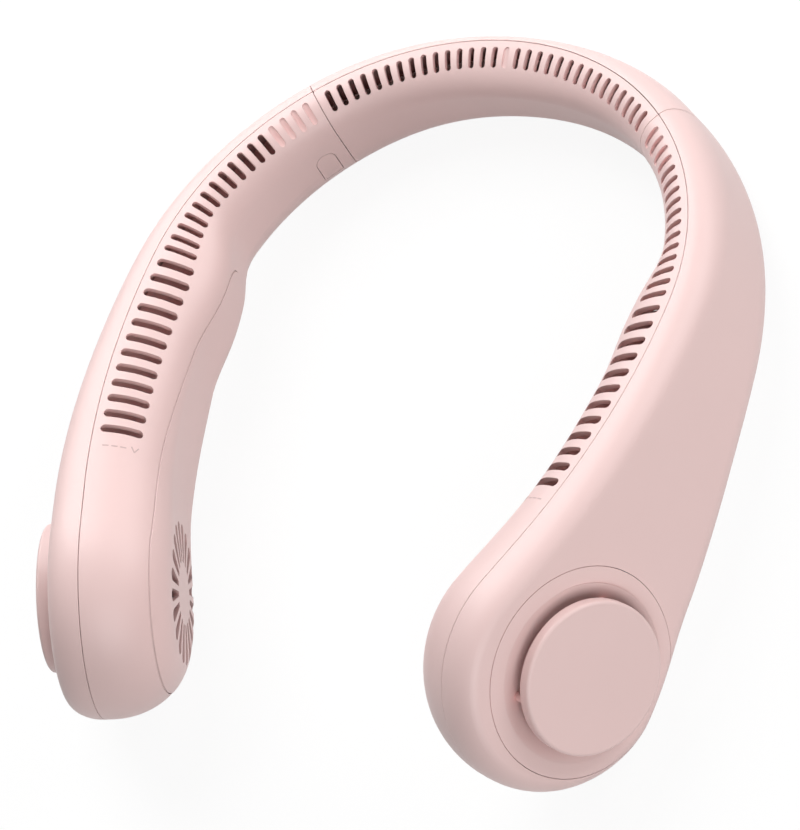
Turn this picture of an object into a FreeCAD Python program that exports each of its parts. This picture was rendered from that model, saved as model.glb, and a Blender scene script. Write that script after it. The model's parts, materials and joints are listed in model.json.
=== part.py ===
"""Bladeless neck fan: a hollow hoop with a double-inlet blower in each end.

The hoop is drawn as it is worn, with the row of air outlets level, and is laid
on a table at the end. All sizes are in millimetres. Distances along the hoop are
measured on the outlet line from the middle of the back of the neck.
The wearer's left side is +X; the right side is its mirror image.
"""
import FreeCAD
import Part
import math
import os
from FreeCAD import Placement, Rotation, Vector

# Plan of the hoop: a half circle round the neck, a slack arm arc, a straight tail
NECK_RADIUS = 79.0
ARM_RADIUS = 208.0
ARM_TOE_DEG = 21.3
ARM_TAIL = 12.3

# Stations where the cross-section is set: the seam, and shares of the arm from seam to fan
SEAM_AT = 59.1
SHOULDER_SHARE = 0.29
MID_ARM_SHARE = 0.49
LOWER_ARM_SHARE = 0.79

# Thickness of the section, from outer face to inner face
NECK_THICKNESS = 17.2
SEAM_THICKNESS = 17.3
SHOULDER_THICKNESS = 19.2
MID_ARM_THICKNESS = 25.2
LOWER_ARM_THICKNESS = 28.2
FAN_THICKNESS = 31.0

# Height of the section
NECK_HEIGHT = 26.8
SEAM_HEIGHT = 31.0
SHOULDER_HEIGHT = 34.2
MID_ARM_HEIGHT = 39.2
LOWER_ARM_HEIGHT = 53.0
FAN_HEIGHT = 66.0

# Swell of the inner face where the cover starts
SWELL = 3.9
SWELL_FROM_SHARE = 0.265
SWELL_TOP_SHARE = 0.375
SWELL_SETTLES_SHARE = 0.57

# Lean of the outer face, which looks a little upward
NECK_LEAN_DEG = 15.0
SEAM_LEAN_DEG = 10.0
MID_ARM_LEAN_DEG = 12.2
FAN_LEAN_DEG = 16.0

# Distance of the outlet line from the outer face
NECK_OUTLET_INSET = 5.0
SEAM_OUTLET_INSET = 8.5
MID_ARM_OUTLET_INSET = 9.4
FAN_OUTLET_INSET = 11.0

# How far the rounded edges reach down the outer and inner faces
NECK_OUTER_ROUND = 9.0
SEAM_OUTER_ROUND = 11.0
MID_ARM_OUTER_ROUND = 7.0
FAN_OUTER_ROUND = 5.5
NECK_INNER_ROUND = 7.4
SEAM_INNER_ROUND = 10.3
MID_ARM_INNER_ROUND = 11.5
FAN_INNER_ROUND = 16.0

# Shells
WALL = 1.6
PARTING_LAND = 1.5
PARTING_GAP = 0.2
SEAM_GAP = 0.2
SECTION_STEP = 4.0

# Air outlets in the top edge
NECK_PITCH = 3.706
NECK_OUTLETS_EACH_SIDE = 15
NECK_SLOT_WIDTH = 1.7
NECK_SLOT_REACH = 6.0
UPPER_FIRST_FROM_SEAM = 3.7
UPPER_PITCH = 3.865
UPPER_BLIND_COUNT = 4
UPPER_OPEN_COUNT = 12
UPPER_SLOT_WIDTH = 1.75
UPPER_SLOT_REACH = 6.3
LOWER_PITCH = 5.06
LOWER_OPEN_COUNT = 12
LOWER_SLOT_WIDTH = 2.45
LOWER_SLOT_REACH = 11.3
REACH_GROWS_FROM_SHARE = 0.29
REACH_GROWS_TO_SHARE = 0.45
BLIND_DEPTH = 0.3
SLOT_CLEAR_OF_LINE = 0.2

# Cover on the inner face of each arm, with the radial grille of the inner inlet
COVER_ARCH_SHARE = 0.394
COVER_DROP_ARCH = 11.5
COVER_DROP_FAN = 6.3
COVER_PROUD = 0.2
COVER_GAP = 0.2
GRILLE_SLOTS = 20
GRILLE_HUB_RADIUS = 8.6
GRILLE_INSIDE_WHEEL = 3.0
GRILLE_SLOT_INNER_WIDTH = 1.3
GRILLE_SLOT_OUTER_WIDTH = 3.5

# Outer inlet: dished ring and floating disc, about the fan axis
FAN_AXIS_DROP = 2.4
FAN_AXIS_BACK = 2.0
RING_MARGIN = 5.3
RING_FIT = 0.15
RING_THICKNESS = 1.5
RING_SKIRT = 4.2
RING_TRIM = 0.2
RING_LIP_TUCK = 0.2
RING_LIP_DEPTH = 2.8
RING_LIP_WIDTH = 2.8
THROAT_DEPTH = 6.8
DISC_MARGIN = 7.5
DISC_PROUD = 5.6
DISC_SKIRT = 3.4
DISC_WALL = 1.5
DISC_EDGE_RADIUS = 0.9
DISC_POSTS = 3
DISC_FIRST_POST_DEG = 60.0
DISC_POST_RADIUS = 1.1

# Blower wheel
WHEEL_MARGIN = 5.2
WHEEL_FRONT_DEPTH = 9.0
WHEEL_BACK_ROOM = 7.0
WHEEL_PLATE = 1.0
WHEEL_RIM = 1.3
BLADES = 24
BLADE_ROOT_SHARE = 2 / 3
BLADE_THICKNESS = 0.8
BLADE_SWEEP_DEG = 14.0
BLADE_BOW = 1.3
HUB_WALL = 1.1

# Outrunner motor inside the wheel's hub
SHAFT_RADIUS = 0.97
SHAFT_RUNNING_FIT = 0.03
BEARING_RADIUS = 2.5
BEARING_LENGTH = 2.5
BEARING_SEAT_FIT = 0.03
TUBE_WALL = 0.75
BASE_RADIUS = 7.6
BASE_THICKNESS = 1.4
BASE_SEAT_HEIGHT = 0.8
BASE_TUBE_HEIGHT = 9.2
STATOR_RADIUS = 7.6
STATOR_BACK = 1.3
STATOR_HEIGHT = 5.0
STATOR_TEETH = 9
TOOTH_WIDTH = 1.2
TOOTH_TIP = 0.8
COIL_BUILD = 0.55
AIR_GAP = 0.4
MAGNET_THICKNESS = 0.9
ROTOR_WALL = 0.6
MOTOR_FIT = 0.05
MOTOR_SCREWS = 3
MOTOR_SCREW_CIRCLE = 5.7
MOTOR_SCREW_RADIUS = 0.6
MOTOR_SCREW_HEAD = 1.0
MOTOR_SCREW_BITE = 1.4

# Inside the arms and the neck
FLOOR_DEPTH_SEAM = 12.3
FLOOR_SLOPE = 0.0625
FLOOR_THICKNESS = 1.0
FLOOR_GAP = 0.5
FLOOR_FROM_SEAM = 11.4
CELL_FROM_SHARE = 0.485
CELL_WHEEL_GAP = 5.2
CELL_GAP = 0.8
CELL_ROOM = 0.55
CELL_CAP_RADIUS = 3.0
CELL_CAP_HEIGHT = 0.8
SLEEVE_REACH = 2.5
SLEEVE_FIT = 0.15
SLEEVE_WALL = 1.2
RIBBON_WIDTH = 4.4
RIBBON_THICKNESS = 0.6
RIBBON_GAP = 0.3
RIBBON_DEPTH_NECK = 14.5
RIBBON_DEPTH_SEAM = 17.0

# Screw under an arched plug beside each seam
PLUG_FROM_SEAM = 7.3
PLUG_WIDTH = 6.3
PLUG_TOP = 13.9
PLUG_BOTTOM = 24.4
PLUG_GAP = 0.15
PLUG_SEAT = 0.7
CASE_SCREW_DEPTH = 19.0
CASE_SCREW_RADIUS = 1.0
CASE_SCREW_HEAD_RADIUS = 1.8
CASE_SCREW_HEAD_HEIGHT = 1.3
CASE_SCREW_LENGTH = 7.0
SCREW_CUP_DEPTH = 3.0
SCREW_CUP_WALL = 0.8
SCREW_POST_RADIUS = 2.3
SCREW_HOLE_FIT = 0.05

# Controls on the right arm
BOARD_FROM_SEAM = 37.9
BOARD_TOP = 17.5
BOARD_HEIGHT = 12.3
BOARD_LENGTH = 34.0
BOARD_DEPTH = 7.5
BOARD_THICKNESS = 1.0
BOARD_POST_ALONG = 14.5
BOARD_POST_DOWN = 27.4
BOARD_POST_RADIUS = 1.8
BOARD_SCREW_RADIUS = 0.8
BOARD_SCREW_HEAD_RADIUS = 1.5
BOARD_SCREW_HEAD_HEIGHT = 1.0
BOARD_SCREW_LENGTH = 3.4
BUTTON_DOWN = 21.4
BUTTON_RADIUS = 4.5
BUTTON_FIT = 0.3
BUTTON_PROUD = 0.9
BUTTON_FLANGE = 0.7
BUTTON_FLANGE_THICKNESS = 1.0
BUTTON_FLANGE_GAP = 0.75
BUTTON_TRAVEL = 0.5
BUTTON_STEM_RADIUS = 1.5
SWITCH_SIDE = 4.5
SWITCH_HEIGHT = 1.9
SWITCH_PLUNGER_RADIUS = 1.1
SWITCH_PLUNGER_LENGTH = 1.9
SWITCH_PLUNGER_FIT = 0.1
SWITCH_SLACK = 0.1
LAMP_COUNT = 4
LAMP_FIRST_ALONG = 7.8
LAMP_PITCH = 2.0
LAMP_DOWN = 21.0
LAMP_SIDE = 1.2
LAMP_HEIGHT = 0.6
LAMP_PIPE_RADIUS = 0.65
LAMP_PIPE_FIT = 0.1
LAMP_PIPE_GAP = 0.1
PORT_ALONG = -6.5
PORT_WIDTH = 8.9
PORT_THICKNESS = 3.2
PORT_LENGTH = 7.3
PORT_WALL = 0.3
PORT_RECESS = 0.8
PORT_FIT = 0.2
PORT_TONGUE = 0.7
PORT_TONGUE_LENGTH = 4.5

ARM_TOE = math.radians(ARM_TOE_DEG)
NECK_ARC = NECK_RADIUS * math.pi / 2
ARM_ARC = ARM_RADIUS * ARM_TOE
FAN_AT = NECK_ARC + ARM_ARC + ARM_TAIL
ARM_LENGTH = FAN_AT - SEAM_AT
SHOULDER_AT = SEAM_AT + SHOULDER_SHARE * ARM_LENGTH
MID_ARM_AT = SEAM_AT + MID_ARM_SHARE * ARM_LENGTH
LOWER_ARM_AT = SEAM_AT + LOWER_ARM_SHARE * ARM_LENGTH
REACH_GROWS_FROM = SEAM_AT + REACH_GROWS_FROM_SHARE * ARM_LENGTH
REACH_GROWS_TO = SEAM_AT + REACH_GROWS_TO_SHARE * ARM_LENGTH
COVER_ARCH_AT = SEAM_AT + COVER_ARCH_SHARE * ARM_LENGTH
SWELL_FROM = SEAM_AT + SWELL_FROM_SHARE * ARM_LENGTH
SWELL_TOP = SEAM_AT + SWELL_TOP_SHARE * ARM_LENGTH
SWELL_SETTLES = SEAM_AT + SWELL_SETTLES_SHARE * ARM_LENGTH
PLUG_AT = SEAM_AT + PLUG_FROM_SEAM
BOARD_AT = SEAM_AT + BOARD_FROM_SEAM

# Radii about the fan axis, each from the one outside it
RING_RADIUS = FAN_HEIGHT / 2 - RING_MARGIN
DISC_RADIUS = RING_RADIUS - DISC_MARGIN
RING_LIP_RADIUS = DISC_RADIUS - RING_LIP_TUCK
THROAT_RADIUS = RING_LIP_RADIUS - RING_LIP_WIDTH
WHEEL_RADIUS = RING_RADIUS - WHEEL_MARGIN
WHEEL_BACK_DEPTH = FAN_THICKNESS - WHEEL_BACK_ROOM
BLADE_INNER_RADIUS = WHEEL_RADIUS * BLADE_ROOT_SHARE
GRILLE_RADIUS = WHEEL_RADIUS - GRILLE_INSIDE_WHEEL

# Space beside the wheel for the floor's end and the cell
FLOOR_FROM = SEAM_AT + FLOOR_FROM_SEAM
FLOOR_TO = FAN_AT - FAN_AXIS_BACK - WHEEL_RADIUS - CELL_WHEEL_GAP
CELL_FROM = SEAM_AT + CELL_FROM_SHARE * ARM_LENGTH
CELL_TO = FLOOR_TO
STATIONS = [0.0, SEAM_AT, SHOULDER_AT, MID_ARM_AT, LOWER_ARM_AT, FAN_AT]
THICKNESS = [NECK_THICKNESS, SEAM_THICKNESS, SHOULDER_THICKNESS,
             MID_ARM_THICKNESS, LOWER_ARM_THICKNESS, FAN_THICKNESS]
HEIGHT = [NECK_HEIGHT, SEAM_HEIGHT, SHOULDER_HEIGHT,
          MID_ARM_HEIGHT, LOWER_ARM_HEIGHT, FAN_HEIGHT]
SOFT_STATIONS = [0.0, SEAM_AT, MID_ARM_AT, FAN_AT]
LEAN_DEG = [NECK_LEAN_DEG, SEAM_LEAN_DEG, MID_ARM_LEAN_DEG, FAN_LEAN_DEG]
OUTLET_INSET = [NECK_OUTLET_INSET, SEAM_OUTLET_INSET, MID_ARM_OUTLET_INSET, FAN_OUTLET_INSET]
OUTER_ROUND = [NECK_OUTER_ROUND, SEAM_OUTER_ROUND, MID_ARM_OUTER_ROUND, FAN_OUTER_ROUND]
INNER_ROUND = [NECK_INNER_ROUND, SEAM_INNER_ROUND, MID_ARM_INNER_ROUND, FAN_INNER_ROUND]
UPPER_FIRST_AT = SEAM_AT + UPPER_FIRST_FROM_SEAM
LOWER_START_AT = UPPER_FIRST_AT + UPPER_PITCH * (UPPER_BLIND_COUNT + UPPER_OPEN_COUNT - 1)

# Handle length that makes a cubic curve follow a quarter ellipse
QUARTER = 0.5523
# Spare length of a cutting tool beyond the wall that it passes
OVERCUT = 3.0
# Slack of a cut, so that edges that nearly meet still cut cleanly
CUT_SLACK = 0.001
X, Y, Z = Vector(1, 0, 0), Vector(0, 1, 0), Vector(0, 0, 1)
ORIGIN = Vector(0, 0, 0)


def blend(stations, values, at):
    """Smooth value at a distance along the hoop, level at both end stations."""
    at = min(max(at, stations[0]), stations[-1])
    steps = [b - a for a, b in zip(stations, stations[1:])]
    rises = [(b - a) / d for a, b, d in zip(values, values[1:], steps)]
    slopes = [0.0]
    for before, after in zip(rises, rises[1:]):
        same_way = before * after > 0
        slopes.append(2 * before * after / (before + after) if same_way else 0.0)
    slopes.append(0.0)
    i = max(k for k in range(len(steps)) if stations[k] <= at)
    u = (at - stations[i]) / steps[i]
    start = values[i] * (1 + 2 * u) * (1 - u) ** 2 + slopes[i] * steps[i] * u * (1 - u) ** 2
    end = values[i + 1] * u ** 2 * (3 - 2 * u) + slopes[i + 1] * steps[i] * u ** 2 * (u - 1)
    return start + end


def swell(at):
    return blend([SWELL_FROM, SWELL_TOP, SWELL_SETTLES], [0.0, SWELL, 0.0], at)


class Section:
    """Cross-section of the hoop: a is outward from the outer face, b is up from the top."""

    def __init__(self, at, proud=0.0):
        side = abs(at)
        self.at = at
        self.thick = blend(STATIONS, THICKNESS, side) + swell(side) + proud
        self.high = blend(STATIONS, HEIGHT, side)
        self.inset = blend(SOFT_STATIONS, OUTLET_INSET, side)
        self.outer_round = blend(SOFT_STATIONS, OUTER_ROUND, side)
        self.inner_round = blend(SOFT_STATIONS, INNER_ROUND, side)
        self.part = WALL + PARTING_LAND + self.inset - NECK_OUTLET_INSET
        self.frame = self.make_frame(math.radians(blend(SOFT_STATIONS, LEAN_DEG, side)))

    def make_frame(self, lean):
        """Placement with X up the section, Y along the hoop and Z out of the outer face."""
        if self.at <= NECK_ARC:
            turn = self.at / NECK_RADIUS
            point = Vector(NECK_RADIUS * math.sin(turn), NECK_RADIUS * math.cos(turn), 0)
            along = Vector(math.cos(turn), -math.sin(turn), 0)
        else:
            turn = min((self.at - NECK_ARC) / ARM_RADIUS, ARM_TOE)
            point = Vector(NECK_RADIUS - ARM_RADIUS * (1 - math.cos(turn)),
                           -ARM_RADIUS * math.sin(turn), 0)
            along = Vector(-math.sin(turn), -math.cos(turn), 0)
            point += along * max(self.at - NECK_ARC - ARM_ARC, 0.0)
        sideways = Vector(-along.y, along.x, 0)
        outward = sideways * math.cos(lean) + Z * math.sin(lean)
        upward = Z * math.cos(lean) - sideways * math.sin(lean)
        corner = point + outward * self.inset
        return Placement(corner, Rotation(upward, along, outward, "ZXY"))

    def point(self, a, b):
        return self.frame.multVec(Vector(b, 0, a))

    def wire(self, start, moves):
        """Closed wire; a move is a point, or a rounded corner's (corner, point)."""
        edges = []
        here = start
        for move in moves + [start]:
            rounded = isinstance(move[0], tuple)
            there = move[1] if rounded else move
            p, q = self.point(*here), self.point(*there)
            if rounded:
                corner = self.point(*move[0])
                curve = Part.BezierCurve()
                curve.setPoles([p, p + (corner - p) * QUARTER, q + (corner - q) * QUARTER, q])
                edges.append(curve.toShape())
            else:
                edges.append(Part.makeLine(p, q))
            here = there
        return Part.Wire(edges)

    def loop(self, m):
        """Whole outline, drawn in by m on all sides."""
        o, i, t, h = self.outer_round, self.inner_round, self.thick, self.high
        return self.wire((-self.part, -m), [
            ((-m, -m), (-m, -o)), (-m, o - h), ((-m, m - h), (-self.part, m - h)),
            (-self.inset, m - h), ((m - t, m - h), (m - t, i - h)), (m - t, -i),
            ((m - t, -m), (-self.inset, -m))])

    def outer_wall(self):
        o, h, w, p = self.outer_round, self.high, WALL, self.part
        return self.wire((-p, 0), [
            ((0, 0), (0, -o)), (0, o - h), ((0, -h), (-p, -h)), (-p, w - h),
            ((-w, w - h), (-w, o - h)), (-w, -o), ((-w, -w), (-p, -w))])

    def inner_wall(self):
        i, t, h, w, e = self.inner_round, self.thick, self.high, WALL, self.inset
        p = self.part + PARTING_GAP
        d = self.thick - w
        return self.wire((-p, 0), [
            (-e, 0), ((-t, 0), (-t, -i)), (-t, i - h), ((-t, -h), (-e, -h)), (-p, -h),
            (-p, w - h), (-e, w - h), ((-d, w - h), (-d, i - h)), (-d, -i),
            ((-d, -w), (-e, -w)), (-p, -w)])

    def outer_half_wall(self):
        """Upper half of the outer wall, from the end's own axis outward."""
        o, w, p, mid = self.outer_round, WALL, self.part, -self.high / 2
        return self.wire((0, mid), [
            (0, -o), ((0, 0), (-p, 0)), (-p, -w), ((-w, -w), (-w, -o)), (-w, mid)])

    def inner_half_wall(self):
        """Upper half of the inner wall, from the end's own axis outward."""
        i, t, w, e, mid = self.inner_round, self.thick, WALL, self.inset, -self.high / 2
        p = self.part + PARTING_GAP
        d = self.thick - w
        return self.wire((-t, mid), [
            (-t, -i), ((-t, 0), (-e, 0)), (-p, 0), (-p, -w), (-e, -w),
            ((-d, -w), (-d, -i)), (-d, mid)])

    def half_loop(self):
        """Upper half of the whole outline, from the end's own axis outward."""
        o, i, t, mid = self.outer_round, self.inner_round, self.thick, -self.high / 2
        return self.wire((0, mid), [
            (0, -o), ((0, 0), (-self.part, 0)), (-self.inset, 0), ((-t, 0), (-t, -i)), (-t, mid)])

    def rectangle(self, a0, a1, b0, b1):
        return self.wire((a0, b0), [(a1, b0), (a1, b1), (a0, b1)])


def spread(start, end):
    """Distances from start to end at about the section step."""
    count = max(int(math.ceil((end - start) / SECTION_STEP)), 1)
    return [start + (end - start) * k / count for k in range(count + 1)]


def loft(wires):
    return Part.makeLoft(wires, True, False)


def turned_end(half_wire):
    """Round end of an arm: the half wall turned half a turn about the end's axis."""
    end = Section(FAN_AT)
    centre = end.point(0, -end.high / 2)
    outward = end.frame.Rotation.multVec(Z)
    return Part.Face(half_wire).revolve(centre, outward, 180)


def cylinder(frame, radius, low, high, up=0.0, along=0.0):
    """Cylinder on the frame's outward axis between two heights."""
    solid = Part.makeCylinder(radius, high - low, Vector(up, along, low), Z)
    solid.Placement = frame
    return solid


def block(frame, up, along, out):
    """Block between (low, high) pairs along the frame's three axes."""
    solid = Part.makeBox(up[1] - up[0], along[1] - along[0], out[1] - out[0],
                         Vector(up[0], along[0], out[0]))
    solid.Placement = frame
    return solid


def turned(frame, profile):
    """Solid of revolution about the frame's outward axis, from (radius, height) points."""
    points = [Vector(r, 0, z) for r, z in profile]
    solid = Part.Face(Part.makePolygon(points + points[:1])).revolve(ORIGIN, Z, 360)
    solid.Placement = frame
    return solid


def outlet_cutter(at, reach, width, below):
    """Round-ended cutter lying on the top edge, from just inside the outlet line."""
    section = Section(at)
    across = section.thick - section.inset
    drop = section.inner_round * (1 - math.sqrt(1 - (reach / across) ** 2))
    first = section.point(-section.inset - SLOT_CLEAR_OF_LINE, 0)
    last = section.point(-section.inset - reach, -drop)
    inward = last - first
    length = inward.Length
    inward.normalize()
    along = section.frame.Rotation.multVec(Y)
    r = width / 2
    ends = [Vector(r, -r, 0), Vector(length - r, -r, 0), Vector(length - r, r, 0), Vector(r, r, 0)]
    outline = Part.Wire([
        Part.makeLine(ends[0], ends[1]),
        Part.Arc(ends[1], Vector(length, 0, 0), ends[2]).toShape(),
        Part.makeLine(ends[2], ends[3]),
        Part.Arc(ends[3], ORIGIN, ends[0]).toShape()])
    outline.translate(Vector(0, 0, -below))
    solid = Part.Face(outline).extrude(Z * (below + OVERCUT))
    solid.Placement = Placement(first, Rotation(inward, along, inward.cross(along), "XYZ"))
    return solid


def slot_reach(at):
    grown = (at - REACH_GROWS_FROM) / (REACH_GROWS_TO - REACH_GROWS_FROM)
    return UPPER_SLOT_REACH + (LOWER_SLOT_REACH - UPPER_SLOT_REACH) * min(max(grown, 0.0), 1.0)


def neck_cutters():
    through = WALL + OVERCUT
    cutters = [outlet_cutter(0.0, NECK_SLOT_REACH, NECK_SLOT_WIDTH, BLIND_DEPTH)]
    for k in range(1, NECK_OUTLETS_EACH_SIDE + 1):
        for at in (-k * NECK_PITCH, k * NECK_PITCH):
            cutters.append(outlet_cutter(at, NECK_SLOT_REACH, NECK_SLOT_WIDTH, through))
    return cutters


def arm_cutters():
    through = WALL + OVERCUT
    cutters = []
    for k in range(UPPER_BLIND_COUNT + UPPER_OPEN_COUNT):
        at = UPPER_FIRST_AT + k * UPPER_PITCH
        below = BLIND_DEPTH if k < UPPER_BLIND_COUNT else through
        cutters.append(outlet_cutter(at, slot_reach(at), UPPER_SLOT_WIDTH, below))
    for k in range(1, LOWER_OPEN_COUNT + 1):
        at = LOWER_START_AT + k * LOWER_PITCH
        cutters.append(outlet_cutter(at, slot_reach(at), LOWER_SLOT_WIDTH, through))
    return cutters


def cover_drop(at):
    share = (at - COVER_ARCH_AT) / (FAN_AT - COVER_ARCH_AT)
    return COVER_DROP_ARCH + (COVER_DROP_FAN - COVER_DROP_ARCH) * share


def cover_zone(inset):
    """Space that the cover fills: an arch, a widening strip and the round fan end."""
    wires = []
    for at in spread(COVER_ARCH_AT, FAN_AT):
        s = Section(at)
        drop = cover_drop(at) + inset
        wires.append(s.rectangle(-s.thick - OVERCUT, -s.thick / 2, -drop, drop - s.high))
    rounds = []
    for at, axis in ((COVER_ARCH_AT, -Z), (FAN_AT, Z)):
        s = Section(at)
        drop = cover_drop(at) + inset
        half = s.rectangle(-s.thick - OVERCUT, -s.thick / 2, -drop, -s.high / 2)
        centre = s.point(0, -s.high / 2)
        rounds.append(Part.Face(half).revolve(centre, s.frame.Rotation.multVec(axis), 180))
    return loft(wires).fuse(rounds)


def fan_frame():
    """Frame on the fan axis, with its origin in the plane of the inlet ring."""
    end = Section(FAN_AT)
    origin = end.frame.multVec(Vector(-end.high / 2 - FAN_AXIS_DROP, -FAN_AXIS_BACK, 0))
    return Placement(origin, end.frame.Rotation)


def motor_seat_depth():
    """Depth below the ring plane of the flat seat that the cover has for the motor."""
    return FAN_THICKNESS - WALL - BASE_SEAT_HEIGHT


def grille_cutters(frame):
    """Radial slots, narrow at the hub and wide and round at the rim."""
    low = -FAN_THICKNESS - COVER_PROUD - OVERCUT
    inner, outer = GRILLE_SLOT_INNER_WIDTH / 2, GRILLE_SLOT_OUTER_WIDTH / 2
    first, last = GRILLE_HUB_RADIUS, GRILLE_RADIUS
    corners = [Vector(first, -inner, low), Vector(last - outer, -outer, low),
               Vector(last - outer, outer, low), Vector(first, inner, low)]
    outline = Part.Wire([
        Part.makeLine(corners[0], corners[1]),
        Part.Arc(corners[1], Vector(last, 0, low), corners[2]).toShape(),
        Part.makeLine(corners[2], corners[3]),
        Part.makeLine(corners[3], corners[0])])
    slot = Part.Face(outline).extrude(Z * (COVER_PROUD + WALL + 2 * OVERCUT))
    cutters = []
    for k in range(GRILLE_SLOTS):
        copy = slot.copy()
        copy.rotate(ORIGIN, Z, 360.0 * k / GRILLE_SLOTS)
        copy.Placement = frame.multiply(copy.Placement)
        cutters.append(copy)
    return cutters


def plug_prism(gap):
    """Arched plug outline, run through the inner wall beside the seam."""
    s = Section(PLUG_AT)
    r = PLUG_WIDTH / 2 - gap
    top = -PLUG_TOP - PLUG_WIDTH / 2
    bottom = gap - PLUG_BOTTOM
    low = -s.thick - OVERCUT
    outline = Part.Wire([
        Part.makeLine(Vector(bottom, -r, low), Vector(top, -r, low)),
        Part.Arc(Vector(top, -r, low), Vector(top + r, 0, low), Vector(top, r, low)).toShape(),
        Part.makeLine(Vector(top, r, low), Vector(bottom, r, low)),
        Part.makeLine(Vector(bottom, r, low), Vector(bottom, -r, low))])
    solid = Part.Face(outline).extrude(Z * (OVERCUT + WALL + PLUG_SEAT))
    solid.Placement = s.frame
    return solid


def case_screw_frame():
    s = Section(PLUG_AT)
    return Placement(s.point(0, -CASE_SCREW_DEPTH), s.frame.Rotation)


def case_screw_levels():
    """Heights of the cup floor's two sides, along the outward axis of the screw."""
    inside = WALL - Section(PLUG_AT).thick
    seat = inside + SCREW_CUP_DEPTH - SCREW_CUP_WALL
    return inside, seat, seat + SCREW_CUP_WALL


def screw_cup():
    """Cup in the inner shell that takes the screw head under the plug."""
    inside, seat, top = case_screw_levels()
    bore = PLUG_WIDTH / 2
    hole = CASE_SCREW_RADIUS + SCREW_HOLE_FIT
    return turned(case_screw_frame(), [
        (bore, inside - WALL / 2), (bore + SCREW_CUP_WALL, inside - WALL / 2),
        (bore + SCREW_CUP_WALL, top), (hole, top), (hole, seat), (bore, seat)])


def screw_post():
    """Post on the outer shell that the case screw bites into."""
    top = case_screw_levels()[2] + SCREW_HOLE_FIT
    frame = case_screw_frame()
    post = cylinder(frame, SCREW_POST_RADIUS, top, -WALL / 2)
    depth = CASE_SCREW_LENGTH - SCREW_CUP_WALL + SCREW_HOLE_FIT
    return post.cut(cylinder(frame, CASE_SCREW_RADIUS + SCREW_HOLE_FIT, top, top + depth))


def case_screw():
    seat = case_screw_levels()[1]
    frame = case_screw_frame()
    head = cylinder(frame, CASE_SCREW_HEAD_RADIUS, seat - CASE_SCREW_HEAD_HEIGHT, seat)
    return head.fuse(cylinder(frame, CASE_SCREW_RADIUS, seat, seat + CASE_SCREW_LENGTH))


def neck_shells():
    sections = [Section(at) for at in spread(SEAM_GAP / 2 - SEAM_AT, SEAM_AT - SEAM_GAP / 2)]
    inner = loft([s.inner_wall() for s in sections]).cut(neck_cutters(), CUT_SLACK)
    outer = loft([s.outer_wall() for s in sections])
    return inner, outer


def arm_halves():
    """Inner and outer half of an arm before anything is cut into them."""
    sections = [Section(at) for at in spread(SEAM_AT + SEAM_GAP / 2, FAN_AT)]
    inner = loft([s.inner_wall() for s in sections])
    outer = loft([s.outer_wall() for s in sections])
    end = sections[-1]
    return inner.fuse(turned_end(end.inner_half_wall())), outer.fuse(turned_end(end.outer_half_wall()))


def arm_inner_shell(half):
    shell = half.cut(arm_cutters() + [cover_zone(0.0)], CUT_SLACK)
    return shell.fuse(screw_cup()).cut(plug_prism(0.0))


def arm_outer_shell(half):
    hole = cylinder(fan_frame(), RING_RADIUS, -RING_SKIRT - WALL / 2, OVERCUT)
    return half.cut(hole).fuse(screw_post())


def arm_cover():
    """Cover with its radial grille, a hair proud of the arm."""
    first = COVER_ARCH_AT - Section(COVER_ARCH_AT).high / 2
    sections = [Section(at, COVER_PROUD) for at in spread(first, FAN_AT)]
    body = loft([s.inner_wall() for s in sections])
    body = body.fuse(turned_end(sections[-1].inner_half_wall()))
    cover = body.common(cover_zone(COVER_GAP), CUT_SLACK)
    frame = fan_frame()
    seat = -motor_seat_depth()
    boss = cylinder(frame, BASE_RADIUS, seat - BASE_SEAT_HEIGHT - WALL / 2, seat)
    holes = motor_screw_set(MOTOR_SCREW_RADIUS + MOTOR_FIT, seat - MOTOR_SCREW_BITE - MOTOR_FIT, seat)
    return cover.cut(grille_cutters(frame), CUT_SLACK).fuse(boss).cut(holes)


def end_body():
    """Solid outline of the fan end, which trims the ring flush with the housing."""
    sections = [Section(at) for at in spread(MID_ARM_AT, FAN_AT)]
    return loft([s.loop(0.0) for s in sections]).fuse(turned_end(sections[-1].half_loop()))


def inlet_ring():
    """Dished ring between the housing and the throat under the disc, flush at its rim."""
    rim = RING_RADIUS - RING_FIT
    lip = RING_LIP_RADIUS
    t = RING_THICKNESS
    brow = Vector(rim - t, 0, RING_TRIM)
    root = Vector(lip, 0, -RING_LIP_DEPTH)
    dish = Part.BezierCurve()
    dish.setPoles([brow, Vector((rim + lip) / 2, 0, RING_TRIM), Vector(lip + t, 0, 0), root])
    throat = THROAT_RADIUS
    rest = [root, Vector(throat, 0, -RING_LIP_DEPTH), Vector(throat, 0, -THROAT_DEPTH),
            Vector(throat + t, 0, -THROAT_DEPTH), Vector(throat + t, 0, -RING_LIP_DEPTH - t),
            Vector(rim - t, 0, -RING_SKIRT), Vector(rim, 0, -RING_SKIRT),
            Vector(rim, 0, RING_TRIM), brow]
    sides = [Part.makeLine(p, q) for p, q in zip(rest, rest[1:])]
    ring = Part.Face(Part.Wire([dish.toShape()] + sides)).revolve(ORIGIN, Z, 360)
    ring.Placement = fan_frame()
    return ring.common(end_body(), CUT_SLACK)


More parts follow.
